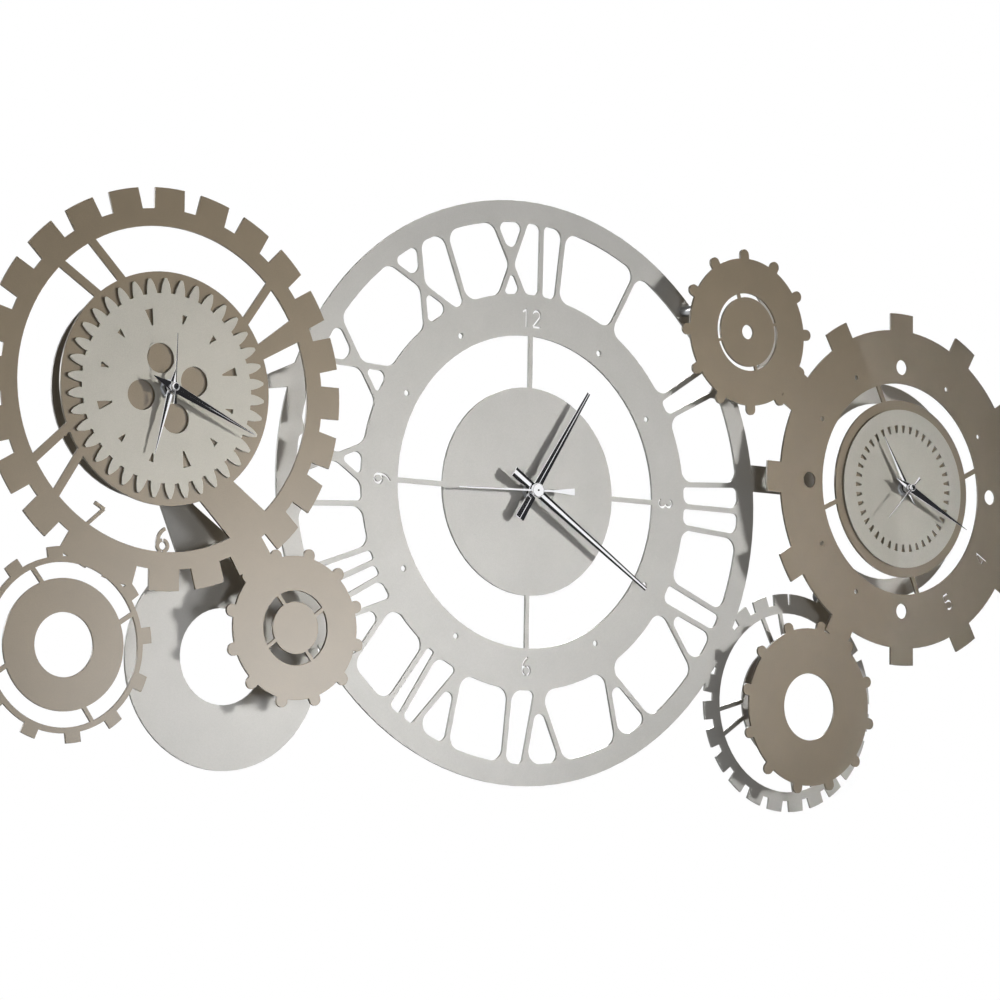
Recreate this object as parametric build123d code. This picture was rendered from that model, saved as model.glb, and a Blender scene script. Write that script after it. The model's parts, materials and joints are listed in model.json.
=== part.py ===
from build123d import *
import os
from math import atan2, cos, degrees, hypot, radians, sin, tan

# World time clock: three quartz clocks on laser-cut sheets shaped as gear wheels, one behind the
# other, hung on a wall. Sizes are in millimetres. Everything is drawn as seen from the front, with
# x to the right, y up and z away from the wall, about the centre clock's axis; hang() then turns
# it so that z is up, the wall is the plane y = 0 and the origin lies midway between the hanging
# holes. Angles of sheet features run clockwise from twelve o'clock.

# Layers, counted from the wall
wall_gap = 22.0
sheet_thickness = 2.0
layer_gap = 25.0
dial_gap = 0.3
dial_thickness = 1.2
cut_overrun = 1.0
joint_overlap = 2.0
match_tolerance = 0.05

# Centre wheel of the back sheet
wheel_radius = 240.0
rim_width = 17.8
numeral_height = 59.7
number_ring_width = 34.1
centre_disc_radius = 85.4
wheel_spoke_width = 4.0
numeral_stroke_width = 4.2
numeral_corner_radius = 10.5
corner_share = 0.45
marker_hole_radius = 2.4
marker_inset = 11.6
marker_hours = (1, 2, 4, 5, 7, 8, 10, 11)
wheel_digit_inset = 14.6
wheel_digit_height = 15.0
digit_stroke_width = 1.9
digit_spacing_share = 0.78

# Left hub disc, its arms and the lower left disc of the back sheet
left_axis_reach = 115.0
left_axis_direction = 277.95
left_hub_radius = 80.8
access_window_size = 64.0
access_window_corner = 8.0
lower_disc_reach = 78.75
lower_disc_direction = 242.29
lower_disc_radius = 84.0
lower_disc_hole_offset = (-1.2, 2.1)
lower_disc_hole_radius = 36.7
neck_width = 34.0

# Ring behind the right clock, with lugs for the right gear sheet
right_axis_reach = 150.7
right_axis_direction = 85.8
right_ring_outer = 97.0
right_ring_inner = 79.0
right_arm_width = 23.0
lug_reach = 7.0
lug_radius = 8.5
lug_angles = (225, 285, 345)

# Toothed ring at the lower right of the back sheet
toothed_ring_reach = 85.4
toothed_ring_direction = 120.27
toothed_ring_inner = 77.5
toothed_ring_root = 85.0
toothed_ring_tip = 94.5
toothed_ring_teeth = 24
toothed_ring_phase = 9.3
toothed_ring_tooth_width = 15.7
pad_start = 1.0
pad_sweep = 49.0
half_hub_inner = 36.0
half_hub_outer = 52.0
half_hub_start = 160.0
half_hub_sweep = 220.0
half_hub_spoke_width = 3.7
half_hub_spokes = ((248, 255), (264, 270), (338, 341), (353, 356), (158, 162), (174, 177))
ring_arm_width = 30.0

# Arm of the back sheet behind the top nub gear
back_arm_offset = (0.0, 6.3)
back_arm_inner = 46.0
back_arm_outer = 58.0
back_arm_start = 20.0
back_arm_sweep = 184.0

# Left gear sheet: big gear, small ring gear and nub gear
left_gear_inner = 121.5
left_gear_root = 134.6
left_gear_tip = 150.5
left_gear_teeth = 24
left_gear_phase = -0.7
left_gear_tooth_width = 25.0
left_gear_disc = 87.4
left_spoke_width = 6.5
left_thin_spokes = ((44.5, 49.2), (313, 317.8), (327.5, 333.2), (226, 233), (240.2, 246.5))
left_wide_spokes = (((59.2, 67.5), (62.3, 70.3)), ((134.5, 152), (138.3, 160)))
left_digit_radius = 113.0
left_digit_height = 17.5
left_digit_stroke = 2.6
left_digits = (("6", 180), ("7", 210))
small_gear_gap = 9.9
small_gear_direction = 202.0
small_gear_hole = 23.5
small_gear_disc = 48.0
small_gear_inner = 59.5
small_gear_root = 63.7
small_gear_tip = 71.0
small_gear_teeth = 12
small_gear_phase = 22.0
small_gear_tooth_width = 12.0
small_gear_ties = ((65.5, 68.5), (155.5, 159), (246, 250), (333.5, 337.5))
small_gear_tie_width = 3.3
left_nub_gap = 18.3
left_nub_direction = 146.1
left_nub_root = 54.7
left_nub_tip = 61.5
left_nub_phase = 11.0
left_nub_slot_outer = 28.4
left_nub_slot_inner = 20.0
left_nub_tie_angle = 57.0
left_nub_tie_tilt = 4.0
left_nub_tie_width = 2.8

# Right gear sheet: top nub gear, big gear and lower nub gear
right_gear_inner = 94.2
right_gear_root = 142.0
right_gear_tip = 157.2
right_gear_teeth = 12
right_gear_tooth_width = 26.5
right_gear_disc = 79.0
right_gear_ties = ((75.5, 78.3), (168, 171), (255.75, 258.3), (342.5, 344.5))
right_gear_tie_width = 4.0
right_hole_circle = 109.0
right_large_hole = 6.8
right_small_hole = 2.2
right_small_hole_angles = (30, 60, 210, 240, 300, 330)
right_digit_radius = 113.0
right_digit_height = 15.0
right_digits = (("4", 120), ("5", 150))
top_nub_reach = 18.2
top_nub_direction = 54.3
top_nub_root = 63.5
top_nub_tip = 71.5
top_nub_phase = 26.5
top_nub_slot_outer = 33.5
top_nub_slot_inner = 30.0
top_nub_tie_angle = 72.5
top_nub_tie_width = 2.5
top_nub_hole = 6.3
low_nub_offset = (0.5, -4.0)
low_nub_root = 67.7
low_nub_tip = 75.3
low_nub_phase = 10.5
low_nub_hole = 28.8
nub_count = 12
nub_radius = 4.8
gear_link_width = 22.0

# Dials
left_dial_tip = 82.3
left_dial_root = 71.0
left_dial_teeth = 38
left_dial_phase = 6.5
left_dial_tooth_bulge = 0.8
left_dial_foot_share = 0.7
left_dial_tip_share = 0.14
left_dial_turn = 72.7
left_dial_hole_circle = 23.0
left_dial_hole_radius = 11.3
left_wedge_outer = (60.0, 57.0, 57.0)
left_wedge_inner = (48.0, 50.5, 50.5)
left_wedge_width = (6.5, 4.0, 4.0)
left_wedge_count = 12
right_dial_radius = 70.5
right_wedge_count = 40
right_wedge_outer = 56.5
right_wedge_inner = 50.0
right_wedge_outer_width = 4.0
right_wedge_inner_width = 1.8
wedge_point_share = 0.2
dial_pad_radius = 6.0
dial_pad_circle = 43.0

# Pillars between the sheets and the screws that hold them from behind
pillar_radius = 4.5
screw_radius = 2.0
screw_hole_radius = 2.2
screw_head_radius = 3.8
screw_head_height = 2.4
screw_length = 10.0
screw_socket_radius = 1.5
screw_socket_depth = 1.4
hub_pillar_radius = 65.0
hub_pillar_angles = (90, 210, 330)
left_pillar_radius = 43.1
left_pillar_angle = 165.3
top_pillar_angles = (44.0, 64.5)
low_pillar_angles = (200, 256, 330)

# Wall bracket and wall feet
bracket_width = 84.0
bracket_height = 24.0
bracket_steel = 1.5
bracket_flange = 9.5
hang_height = 53.0
hang_spacing = 60.0
hang_hole_radius = 4.5
foot_radius = 7.0
foot_tip_radius = 5.5
foot_bevel = 1.5
hub_foot_radius = 54.8
hub_foot_angles = (30, 150)
disc_foot_angle = 160.4
centre_foot_radius = 58.0
centre_foot_angles = (149, 211)
ring_foot_angles = (60, 120)
arm_foot_share = 0.5

# Quartz movement: case, cover and battery
case_corner = 4.0
case_depth = 16.0
case_wall = 1.5
cover_thickness = 1.2
works_floor = -11.5
bay_wall = 0.9
bush_radius = 4.0
battery_radius = 7.1
battery_length = 49.0
battery_pip_radius = 2.7
battery_pip_height = 1.2
battery_rise = 8.0
battery_play = 0.4
contact_steel = 0.4
contact_reach = 1.0
contact_width = 10.0
contact_height = 13.0
contact_boss_radius = 2.2
washer_radius = 6.6
washer_thickness = 0.5
nut_flats = 11.0
nut_thickness = 2.0
washer_play = 0.1

# Arbors, pipes and bearings
running_gap = 0.05
end_gap = 0.35
hour_pipe_radius = 2.6
minute_pipe_radius = 1.7
second_arbor_radius = 0.5
small_arbor_radius = 0.4
post_wall = 0.8
bearing_height = 1.0
bearing_depth = 0.8

# Wheels: numbers of teeth, gear modules and levels behind the front of the case
motion_module = 0.4
train_module = 0.5
rotor_module = 0.4
cannon_teeth = 10
motion_teeth = 30
motion_pinion_teeth = 8
hour_teeth = 32
knob_teeth = 10
second_teeth = 30
third_pinion_teeth = 6
third_teeth = 36
rotor_teeth = 6
wheel_thickness = 0.8
hour_level = 1.85
motion_level = 3.5
minute_disc_level = 4.9
minute_disc_radius = 7.0
second_level = 7.0
third_level = 9.0
magnet_level = 10.8
magnet_depth = 2.4
magnet_radius = 2.5
motion_direction = 180.0
knob_direction = 135.0
third_direction = 45.0
rotor_direction = 60.0
tooth_addendum_share = 0.85
tooth_dedendum_share = 1.25
tooth_pitch_share = 0.38
tooth_tip_share = 0.16
tooth_root_share = 0.5

# Motor and circuit board
stator_level = 11.0
stator_thickness = 0.8
stator_width = 34.0
stator_height = 9.0
stator_gap = 0.6
stator_leg_width = 5.0
coil_rise = 22.0
coil_length = 22.0
coil_radius = 2.8
coil_core_height = 3.0
bobbin_flange = 0.8
bobbin_flange_radius = 3.2
board_width = 7.5
board_height = 32.0
board_thickness = 1.0
board_level = 12.2
board_play = 0.3
board_middle = 7.0
board_post_radius = 1.3
board_post_reach = 13.0
knob_shaft_radius = 1.5
knob_radius = 5.5
knob_height = 2.6
knob_flutes = 12
knob_flute_radius = 0.7

# Hands: length and tail from the axis, widths at the tip, the hub and the tail's end
large_hour_hand = {"length": 100.6, "tail": 28.1, "tip_width": 3.8, "hub_width": 8.0, "tail_width": 9.0}
large_minute_hand = {"length": 137.0, "tail": 26.4, "tip_width": 3.6, "hub_width": 8.0, "tail_width": 9.0}
large_second_hand = {"length": 77.0, "tail": 38.2, "tip_width": 1.0, "hub_width": 1.8, "tail_width": 6.0}
small_hour_hand = {"length": 52.0, "tail": 17.0, "tip_width": 0.5, "hub_width": 5.8, "tail_width": 0.5}
small_minute_hand = {"length": 77.0, "tail": 18.0, "tip_width": 0.5, "hub_width": 7.5, "tail_width": 0.5}
small_second_hand = {"length": 40.0, "tail": 13.0, "tip_width": 0.6, "hub_width": 1.2, "tail_width": 3.0}
large_hands = (large_hour_hand, large_minute_hand, large_second_hand)
small_hands = (small_hour_hand, small_minute_hand, small_second_hand)
large_cap = {"cap_radius": 6.0, "cap_height": 2.0}
small_cap = {"cap_radius": 3.2, "cap_height": 1.3}
hand_edge_height = 0.25
hand_ridge_height = 0.8
point_ridge_share = 0.2
needle_height = 0.45
hand_hub_height = 1.2
hour_hub_wall = 1.6
minute_hub_wall = 1.6
needle_waist_share = 0.42
cap_pin_radius = 0.5
cap_pin_height = 0.5
cap_bore_depth = 0.8

# Height of the hour hand above what the bush clamps, and from one hand to the next
large_hand_lift = 8.0
large_hand_step = 1.8
small_hand_lift = 5.3
small_hand_step = 3.3

# Clockwise angles of the hour, minute and second hand at rest
centre_angles = (32.4, 123.0, 268.1)
left_angles = (193.8, 113.0, 0.7)
right_angles = (328.0, 115.3, 224.8)

# Levels that follow from the layers
back_level = wall_gap
back_front = back_level + sheet_thickness
gear_level = back_front + layer_gap
gear_front = gear_level + sheet_thickness
dial_level = gear_front + dial_gap
dial_front = dial_level + dial_thickness

# Radii that follow from the wheel, and the case that follows from its cell
numeral_outer_radius = wheel_radius - rim_width
numeral_inner_radius = numeral_outer_radius - numeral_height
inner_ring_radius = numeral_inner_radius - number_ring_width
case_size = battery_length + battery_pip_height + 2 * (case_wall + contact_steel + contact_reach)

# Strokes of the openwork numerals: clockwise angle at the inner and at the outer ring
numeral_strokes = (
    (348.75, 358.5), (357.5, 350.0), (3.2, 2.5), (9.1, 8.5),
    (29.8, 29.6),
    (57.1, 57.1), (63.1, 63.1),
    (83.8, 84.5), (90.3, 90.3), (96.6, 96.0),
    (114.2, 113.9), (121.3, 118.7), (121.3, 128.5),
    (150.0, 145.0), (150.0, 155.0),
    (176.0, 170.2), (176.0, 180.5), (185.6, 185.6),
    (203.7, 200.4), (203.7, 209.6), (213.1, 213.1), (217.1, 217.1),
    (233.75, 228.9), (233.75, 238.5), (241.3, 241.3), (245.9, 245.9), (250.2, 250.2),
    (262.5, 263.7), (268.7, 279.5), (279.4, 269.5),
    (292.5, 303.75), (303.1, 293.5),
    (320.0, 330.0), (331.9, 321.25), (336.25, 336.9),
)

# Arms from the left hub's centre: points as shares of the distance to the other centre, along it
# and to its left
upper_arm_shares = (
    (0, 0), (0.211, 0.052), (0.281, 0.075), (0.355, 0.098), (0.347, 0.152), (0.277, 0.107),
    (0.209, 0.063),
)
lower_arm_shares = (
    (0, 0), (0.354, -0.083), (0.592, -0.068), (0.688, -0.062), (0.668, 0.219), (0.587, 0.161),
    (0.435, 0.053), (0.368, 0.021),
)

# Strokes of the plain digits, as shares of the digit's height: bars from point to point, and bows
# as centre, radius, start angle and sweep, anticlockwise from the right. Gaps keep a cut digit's
# middle in place.
digit_bar_shares = {
    "1": ((0.08, 0.0, 0.08, 1.0), (0.08, 1.0, -0.16, 0.8)),
    "2": ((0.2, 0.6, -0.25, 0.06), (-0.25, 0.06, 0.27, 0.06)),
    "3": (),
    "4": ((0.1, 0.0, 0.1, 1.0), (0.02, 0.92, -0.27, 0.42), (-0.3, 0.3, 0.02, 0.3)),
    "5": ((0.24, 0.95, -0.2, 0.95), (-0.2, 0.95, -0.22, 0.55)),
    "6": (),
    "7": ((-0.26, 0.95, 0.26, 0.95), (0.24, 0.95, -0.08, 0.0)),
    "9": (),
}
digit_bow_shares = {
    "1": (),
    "2": ((0.0, 0.72, 0.23, -32, 200),),
    "3": ((-0.02, 0.74, 0.21, -75, 235), (-0.02, 0.28, 0.24, -150, 225)),
    "4": (),
    "5": ((-0.01, 0.3, 0.25, -150, 300),),
    "6": ((0.0, 0.27, 0.24, -80, 160), (0.0, 0.27, 0.24, 100, 160), (0.42, 0.42, 0.66, 118, 72)),
    "7": (),
    "9": ((0.0, 0.73, 0.24, -80, 160), (0.0, 0.73, 0.24, 100, 160), (-0.42, 0.58, 0.66, -62, 72)),
}


def spot(radius, angle, centre=(0, 0)):
    """Point at a radius and a clockwise angle from twelve o'clock about a centre."""
    turn = radians(angle)
    return centre[0] + radius * sin(turn), centre[1] + radius * cos(turn)


def beyond(reach, angle):
    """Point at a distance outside the centre wheel's rim."""
    return spot(wheel_radius + reach, angle)


def shifted(place, offset):
    return place[0] + offset[0], place[1] + offset[1]


def strip(start, end, width):
    """Straight strip of even width from one point to another."""
    run = (end[0] - start[0], end[1] - start[1])
    middle = ((start[0] + end[0]) / 2, (start[1] + end[1]) / 2)
    return Pos(*middle) * Rot(0, 0, degrees(atan2(run[1], run[0]))) * Rectangle(hypot(*run), width)


def face_up(outline):
    """Turn an outline's faces so that they look along z."""
    return Sketch() + [face if face.normal_at().Z > 0 else -face for face in outline.faces()]


def arm_between(start, end, shares):
    """Outline whose points are shares of the way between two centres."""
    run = (end[0] - start[0], end[1] - start[1])
    points = []
    for along, across in shares:
        points.append(shifted(start, (run[0] * along - run[1] * across, run[1] * along + run[0] * across)))
    return face_up(Polygon(*points, align=None))


def ring(outer, inner):
    return Circle(outer) - Circle(inner)


def ring_part(outer, inner, start, sweep):
    """Piece of a flat ring, from a clockwise start angle through a clockwise sweep."""
    outer_arc = CenterArc((0, 0), outer, 90 - start - sweep, sweep)
    inner_arc = CenterArc((0, 0), inner, 90 - start - sweep, sweep)
    sides = [Line(outer_arc @ 1, inner_arc @ 1), Line(inner_arc @ 0, outer_arc @ 0)]
    return face_up(make_face([outer_arc, inner_arc] + sides))


def plate(outline, level, thickness):
    return Pos(0, 0, level) * extrude(outline, thickness, dir=(0, 0, 1))


def disc(radius, level, thickness, centre=(0, 0)):
    return Pos(centre[0], centre[1], level) * extrude(Circle(radius), thickness)


def tube(outer, inner, level, thickness, centre=(0, 0)):
    return Pos(centre[0], centre[1], level) * extrude(ring(outer, inner), thickness)


def slab(low, high):
    """Rectangular block between two corners."""
    size = [high[i] - low[i] for i in range(3)]
    middle = [(high[i] + low[i]) / 2 for i in range(3)]
    return Pos(*middle) * Box(*size)


def swirl(spans, outer, inner, width):
    """Straight ties between two circles, each from its outer to its inner angle."""
    ties = []
    for outer_angle, inner_angle in spans:
        start = spot(inner - joint_overlap, inner_angle)
        end = spot(outer + joint_overlap, outer_angle)
        ties.append(strip(start, end, width))
    return ties


def toothed(root, tip, count, phase, width):
    """Gear outline with straight-sided teeth."""
    teeth = []
    for step in range(count):
        angle = phase + step * 360 / count
        teeth.append(strip(spot(root - joint_overlap, angle), spot(tip + joint_overlap, angle), width))
    return (Circle(root) + teeth) & Circle(tip)


def nubbed(root, tip, phase):
    """Gear outline with short round-ended teeth."""
    nubs = []
    for step in range(nub_count):
        angle = phase + step * 360 / nub_count
        end = spot(tip - nub_radius, angle)
        nubs.append(strip(spot(root - joint_overlap, angle), end, nub_radius * 2))
        nubs.append(Pos(*end) * Circle(nub_radius))
    return Circle(root) + nubs


def wedge(outer, inner, outer_width, inner_width, angle):
    """Tapered cut-out that widens away from the middle."""
    corners = [(-inner_width / 2, inner), (inner_width / 2, inner)]
    corners += [(outer_width / 2, outer), (-outer_width / 2, outer)]
    return Rot(0, 0, -angle) * Polygon(*corners, align=None)


def digit(name, height, stroke):
    """One plain digit, upright on the x axis, as a set of strokes."""
    strokes = []
    for left, bottom, right, top in digit_bar_shares[name]:
        strokes.append(strip((left * height, bottom * height), (right * height, top * height), stroke))
    for across, up, radius, start, sweep in digit_bow_shares[name]:
        outer = radius * height + stroke / 2
        inner = radius * height - stroke / 2
        bow = ring_part(outer, inner, 90 - start - sweep, sweep)
        strokes.append(Pos(across * height, up * height) * bow)
    return Sketch() + strokes


def number(text, radius, angle, height, stroke, feet_out):
    """Digits side by side about an angle; feet_out turns their feet away from the middle."""
    marks = []
    spacing = height * digit_spacing_share
    for place, name in enumerate(text):
        across = (place - (len(text) - 1) / 2) * spacing
        mark = Pos(across, -height / 2) * digit(name, height, stroke)
        turn = 180 - angle if feet_out else -angle
        marks.append(Pos(*spot(radius, angle)) * Rot(0, 0, turn) * mark)
    return marks


def ends_at(side, corner):
    """Whether one end of a side lies on a corner."""
    return min((end - corner.center()).length for end in (side @ 0, side @ 1)) < match_tolerance


def soften(opening, radius):
    """Round each corner of an opening as far as its two sides leave room."""
    face = opening
    for corner in opening.vertices():
        here = [v for v in face.vertices() if (v.center() - corner.center()).length < match_tolerance]
        sides = [side for side in face.edges() if ends_at(side, corner)]
        if not here or len(sides) != 2:
            continue
        ways = []
        for side in sides:
            at_start = (side @ 0 - corner.center()).length < match_tolerance
            ways.append(side % 0 if at_start else (side % 1) * -1)
        half_turn = radians(ways[0].get_angle(ways[1])) / 2
        room = corner_share * min(side.length for side in sides) * tan(half_turn)
        face = face.fillet_2d(min(radius, room), here)
    return face


def wheel_outline():
    """Centre wheel: rim, openwork numerals, numbered ring, four spokes and centre disc."""
    band = ring(numeral_outer_radius, numeral_inner_radius)
    strokes = []
    for inner_angle, outer_angle in numeral_strokes:
        start = spot(numeral_inner_radius - joint_overlap, inner_angle)
        end = spot(numeral_outer_radius + joint_overlap, outer_angle)
        strokes.append(strip(start, end, numeral_stroke_width))
    openings = [soften(face, numeral_corner_radius) for face in (band - strokes).faces()]
    spoke = strip((0, 0), (0, wheel_radius), wheel_spoke_width)
    spokes = [Rot(0, 0, 90 * step) * spoke for step in range(4)]
    gap = ring(inner_ring_radius, centre_disc_radius) - spokes
    markers = []
    for hour in marker_hours:
        place = spot(inner_ring_radius + marker_inset, hour * 30)
        markers.append(Pos(*place) * Circle(marker_hole_radius))
    digit_circle = inner_ring_radius + wheel_digit_inset
    for text, angle in (("12", 0), ("3", 90), ("6", 180), ("9", 270)):
        feet_out = angle == 180
        markers += number(text, digit_circle, angle, wheel_digit_height, digit_stroke_width, feet_out)
    return Circle(wheel_radius) - openings - gap - markers


# Middles of the clocks, discs, rings and gears
left_axis = beyond(left_axis_reach, left_axis_direction)
lower_disc_centre = beyond(lower_disc_reach, lower_disc_direction)
lower_disc_hole_centre = shifted(lower_disc_centre, lower_disc_hole_offset)
right_axis = beyond(right_axis_reach, right_axis_direction)
toothed_ring_centre = beyond(toothed_ring_reach, toothed_ring_direction)
top_nub_centre = beyond(top_nub_reach, top_nub_direction)
back_arm_centre = shifted(top_nub_centre, back_arm_offset)
low_nub_centre = shifted(toothed_ring_centre, low_nub_offset)
small_gear_centre = spot(left_gear_root + small_gear_root + small_gear_gap, small_gear_direction, left_axis)
left_nub_centre = spot(left_gear_root + left_nub_root + left_nub_gap, left_nub_direction, left_axis)


def toothed_ring_outline():
    """Ring with teeth outside, a plain pad, and a half hub on paired spokes."""
    outline = toothed(
        toothed_ring_root, toothed_ring_tip, toothed_ring_teeth, toothed_ring_phase, toothed_ring_tooth_width
    )
    outline = outline + ring_part(toothed_ring_tip, toothed_ring_inner, pad_start, pad_sweep)
    outline = outline - Circle(toothed_ring_inner)
    outline = outline + ring_part(half_hub_outer, half_hub_inner, half_hub_start, half_hub_sweep)
    outline = outline + swirl(half_hub_spokes, toothed_ring_inner, half_hub_outer, half_hub_spoke_width)
    return Pos(*toothed_ring_centre) * outline


def pillar_places():
    """Where pillars join the back sheet to the gear sheets."""
    places = [spot(hub_pillar_radius, angle, left_axis) for angle in hub_pillar_angles]
    places.append(spot(left_pillar_radius, left_pillar_angle, left_nub_centre))
    places += [spot(wheel_radius - rim_width / 2, angle) for angle in top_pillar_angles]
    places += [spot(right_ring_outer + lug_reach, angle, right_axis) for angle in lug_angles]
    half_hub_middle = (half_hub_inner + half_hub_outer) / 2
    places += [spot(half_hub_middle, angle, toothed_ring_centre) for angle in low_pillar_angles]
    return places


def foot_places():
    """Where feet behind the back sheet stand on the wall."""
    places = [spot(hub_foot_radius, angle, left_axis) for angle in hub_foot_angles]
    disc_middle = (lower_disc_hole_radius + lower_disc_radius) / 2
    places.append(spot(disc_middle, disc_foot_angle, lower_disc_centre))
    places += [spot(centre_foot_radius, angle) for angle in centre_foot_angles]
    ring_middle = (right_ring_inner + right_ring_outer) / 2
    places += [spot(ring_middle, angle, right_axis) for angle in ring_foot_angles]
    link = (right_axis[0] - toothed_ring_centre[0], right_axis[1] - toothed_ring_centre[1])
    places.append(shifted(toothed_ring_centre, (link[0] * arm_foot_share, link[1] * arm_foot_share)))
    return places


def back_sheet():
    """Back sheet as one plate."""
    wheel = wheel_outline()
    pieces = [Pos(*left_axis) * Circle(left_hub_radius)]
    upper_arm = arm_between(left_axis, (0, 0), upper_arm_shares)
    pieces.append(upper_arm - Circle(wheel_radius - joint_overlap))
    pieces.append(arm_between(left_axis, lower_disc_centre, lower_arm_shares))
    lower_disc = Pos(*lower_disc_centre) * Circle(lower_disc_radius)
    pieces.append(lower_disc - Pos(*lower_disc_hole_centre) * Circle(lower_disc_hole_radius))
    neck_start = numeral_outer_radius + joint_overlap
    neck_end = wheel_radius + neck_width / 2
    for direction in (lower_disc_direction, toothed_ring_direction):
        pieces.append(strip(spot(neck_start, direction), spot(neck_end, direction), neck_width))
    pieces.append(Pos(*right_axis) * Circle(right_ring_outer))
    arm_start = (wheel_radius - joint_overlap, right_axis[1])
    pieces.append(strip(arm_start, right_axis, right_arm_width))
    for angle in lug_angles:
        pieces.append(Pos(*spot(right_ring_outer + lug_reach, angle, right_axis)) * Circle(lug_radius))
    arm = Pos(*back_arm_centre) * ring_part(back_arm_outer, back_arm_inner, back_arm_start, back_arm_sweep)
    pieces.append(arm - Circle(numeral_outer_radius + joint_overlap))
    link = strip(right_axis, toothed_ring_centre, ring_arm_width)
    pieces.append(link - Pos(*toothed_ring_centre) * Circle(toothed_ring_inner + joint_overlap))
    outline = wheel + pieces
    outline = outline - Pos(*right_axis) * Circle(right_ring_inner)
    window = RectangleRounded(access_window_size, access_window_size, access_window_corner)
    outline = outline - Pos(*left_axis) * window
    outline = outline - Pos(*toothed_ring_centre) * Circle(toothed_ring_inner)
    outline = outline + toothed_ring_outline()
    holes = [Pos(*place) * Circle(screw_hole_radius) for place in pillar_places()]
    holes.append(Circle(bush_radius + washer_play))
    return plate(outline - holes, back_level, sheet_thickness)


def gear_link(start, start_radius, end, end_radius):
    """Short bridge between two gears of one sheet."""
    direction = degrees(atan2(end[0] - start[0], end[1] - start[1]))
    first = spot(start_radius - joint_overlap, direction, start)
    last = spot(end_radius - joint_overlap, direction + 180, end)
    return strip(first, last, gear_link_width)


def left_gear_sheet():
    """Left gear sheet as one plate."""
    gear = toothed(left_gear_root, left_gear_tip, left_gear_teeth, left_gear_phase, left_gear_tooth_width)
    gear = gear - ring(left_gear_inner, left_gear_disc)
    gear = gear + swirl(left_thin_spokes, left_gear_inner, left_gear_disc, left_spoke_width)
    for outer_angles, inner_angles in left_wide_spokes:
        corners = [spot(left_gear_disc - joint_overlap, angle) for angle in inner_angles]
        corners += [spot(left_gear_inner + joint_overlap, angle) for angle in reversed(outer_angles)]
        gear = gear + Polygon(*corners, align=None)
    for name, angle in left_digits:
        gear = gear + number(name, left_digit_radius, angle, left_digit_height, left_digit_stroke, True)
    small_teeth = (small_gear_teeth, small_gear_phase, small_gear_tooth_width)
    small = toothed(small_gear_root, small_gear_tip, *small_teeth)
    small = small - ring(small_gear_inner, small_gear_disc) - Circle(small_gear_hole)
    small = small + swirl(small_gear_ties, small_gear_inner, small_gear_disc, small_gear_tie_width)
    nub = nubbed(left_nub_root, left_nub_tip, left_nub_phase)
    tie_angles = [left_nub_tie_angle + 90 * k for k in range(4)]
    spans = [(angle, angle + left_nub_tie_tilt) for angle in tie_angles]
    nub = nub - ring(left_nub_slot_outer, left_nub_slot_inner)
    nub = nub + swirl(spans, left_nub_slot_outer, left_nub_slot_inner, left_nub_tie_width)
    outline = Pos(*left_axis) * gear + Pos(*small_gear_centre) * small + Pos(*left_nub_centre) * nub
    outline = outline + gear_link(left_axis, left_gear_root, small_gear_centre, small_gear_root)
    outline = outline + gear_link(left_axis, left_gear_root, left_nub_centre, left_nub_root)
    outline = outline - Pos(*left_axis) * Circle(bush_radius + washer_play)
    return plate(outline, gear_level, sheet_thickness)


def right_gear_sheet():
    """Right gear sheet as one plate."""
    gear = toothed(right_gear_root, right_gear_tip, right_gear_teeth, 0, right_gear_tooth_width)
    gear = gear - ring(right_gear_inner, right_gear_disc)
    gear = gear + swirl(right_gear_ties, right_gear_inner, right_gear_disc, right_gear_tie_width)
    holes = [Circle(bush_radius + washer_play)]
    holes += [Pos(*spot(right_hole_circle, 90 * k)) * Circle(right_large_hole) for k in range(4)]
    holes += [Pos(*spot(right_hole_circle, a)) * Circle(right_small_hole) for a in right_small_hole_angles]
    for name, angle in right_digits:
        holes += number(name, right_digit_radius, angle, right_digit_height, digit_stroke_width, True)
    gear = gear - holes
    top = nubbed(top_nub_root, top_nub_tip, top_nub_phase) - Circle(top_nub_hole)
    spans = [(top_nub_tie_angle + 90 * k, top_nub_tie_angle + 90 * k) for k in range(4)]
    top = top - ring(top_nub_slot_outer, top_nub_slot_inner)
    top = top + swirl(spans, top_nub_slot_outer, top_nub_slot_inner, top_nub_tie_width)
    low = nubbed(low_nub_root, low_nub_tip, low_nub_phase) - Circle(low_nub_hole)
    outline = Pos(*right_axis) * gear + Pos(*top_nub_centre) * top + Pos(*low_nub_centre) * low
    outline = outline + gear_link(right_axis, right_gear_root, top_nub_centre, top_nub_root)
    outline = outline + gear_link(right_axis, right_gear_root, low_nub_centre, low_nub_root)
    return plate(outline, gear_level, sheet_thickness)


def leaf_tooth(angle):
    """Blunt pointed tooth with two slightly bowed sides."""
    half_pitch = 180 / left_dial_teeth
    foot = spot(left_dial_root, half_pitch * left_dial_foot_share)
    tip = spot(left_dial_tip, half_pitch * left_dial_tip_share)
    lean = hypot(foot[0] - tip[0], tip[1] - foot[1])
    bulge = left_dial_tooth_bulge / lean
    bow_x = (foot[0] + tip[0]) / 2 + (tip[1] - foot[1]) * bulge
    bow_y = (foot[1] + tip[1]) / 2 + (foot[0] - tip[0]) * bulge
    right_side = ThreePointArc(foot, (bow_x, bow_y), tip)
    left_side = ThreePointArc((-tip[0], tip[1]), (-bow_x, bow_y), (-foot[0], foot[1]))
    base = left_dial_root - joint_overlap
    ends = [Line(tip, (-tip[0], tip[1]))]
    ends.append(Polyline((-foot[0], foot[1]), (-foot[0], base), (foot[0], base), foot))
    return Rot(0, 0, -angle) * face_up(make_face([right_side, left_side] + ends))


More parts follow.
